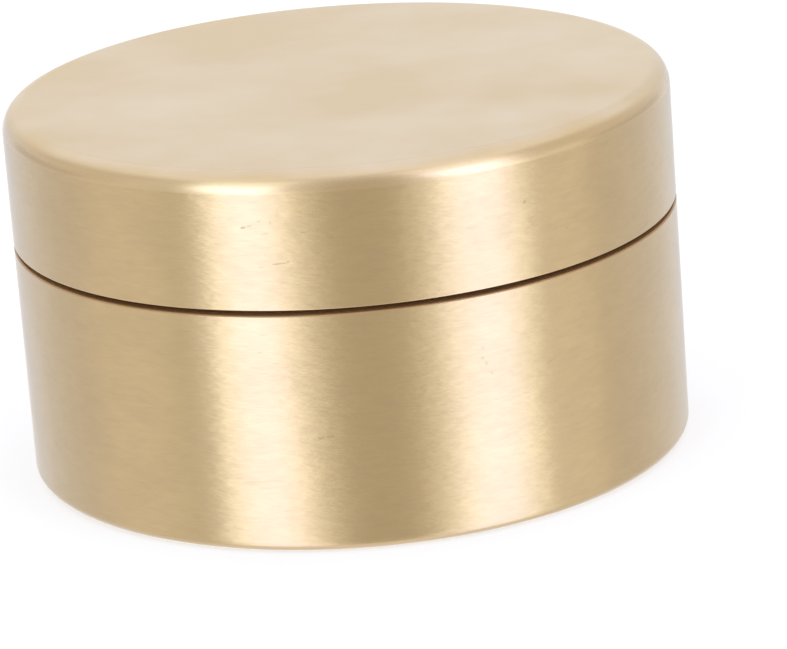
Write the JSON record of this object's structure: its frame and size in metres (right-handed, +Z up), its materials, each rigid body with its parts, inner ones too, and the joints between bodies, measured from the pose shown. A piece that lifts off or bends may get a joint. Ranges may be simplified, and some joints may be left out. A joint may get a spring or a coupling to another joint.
{
  "type": "sealed jewelry box",
  "caption": "Small round turned-brass keepsake box: a cup with a threaded neck and a sealing ring, closed by a flat-topped screw lid.",
  "frame": {"origin": "centre of the flat underside of the closed box", "axes": "+Z up along the axis of the box, from the underside to the lid; -Y towards the viewer of the picture; the pieces are round, so X and Y are alike"},
  "size_m": [0.049, 0.049, 0.0277],
  "materials": {
    "cup_brass": "brushed round the axis, satin",
    "lid_brass": "brushed round the axis, satin",
    "ring_rubber": "matt black"
  },
  "bodies": {
    "base": {"base_cup": "cup_brass"},
    "seal": {"seal_ring": "ring_rubber"},
    "lid": {"lid": "lid_brass"}
  },
  "joints": [
    {"name": "lid_turn", "type": "hinge", "parent": "base", "child": "seal", "pos_m": [0, 0, 0], "axis": [0, 0, 1], "range_deg": [0, 1440]},
    {"name": "lid_lift", "type": "slide", "parent": "seal", "child": "lid", "axis": [0, 0, 1], "range_m": [0, 0.012]}
  ],
  "couplings": [
    {"joint": "lid_lift", "follows": "lid_turn", "m_per_rad": 0.00047746}
  ]
}
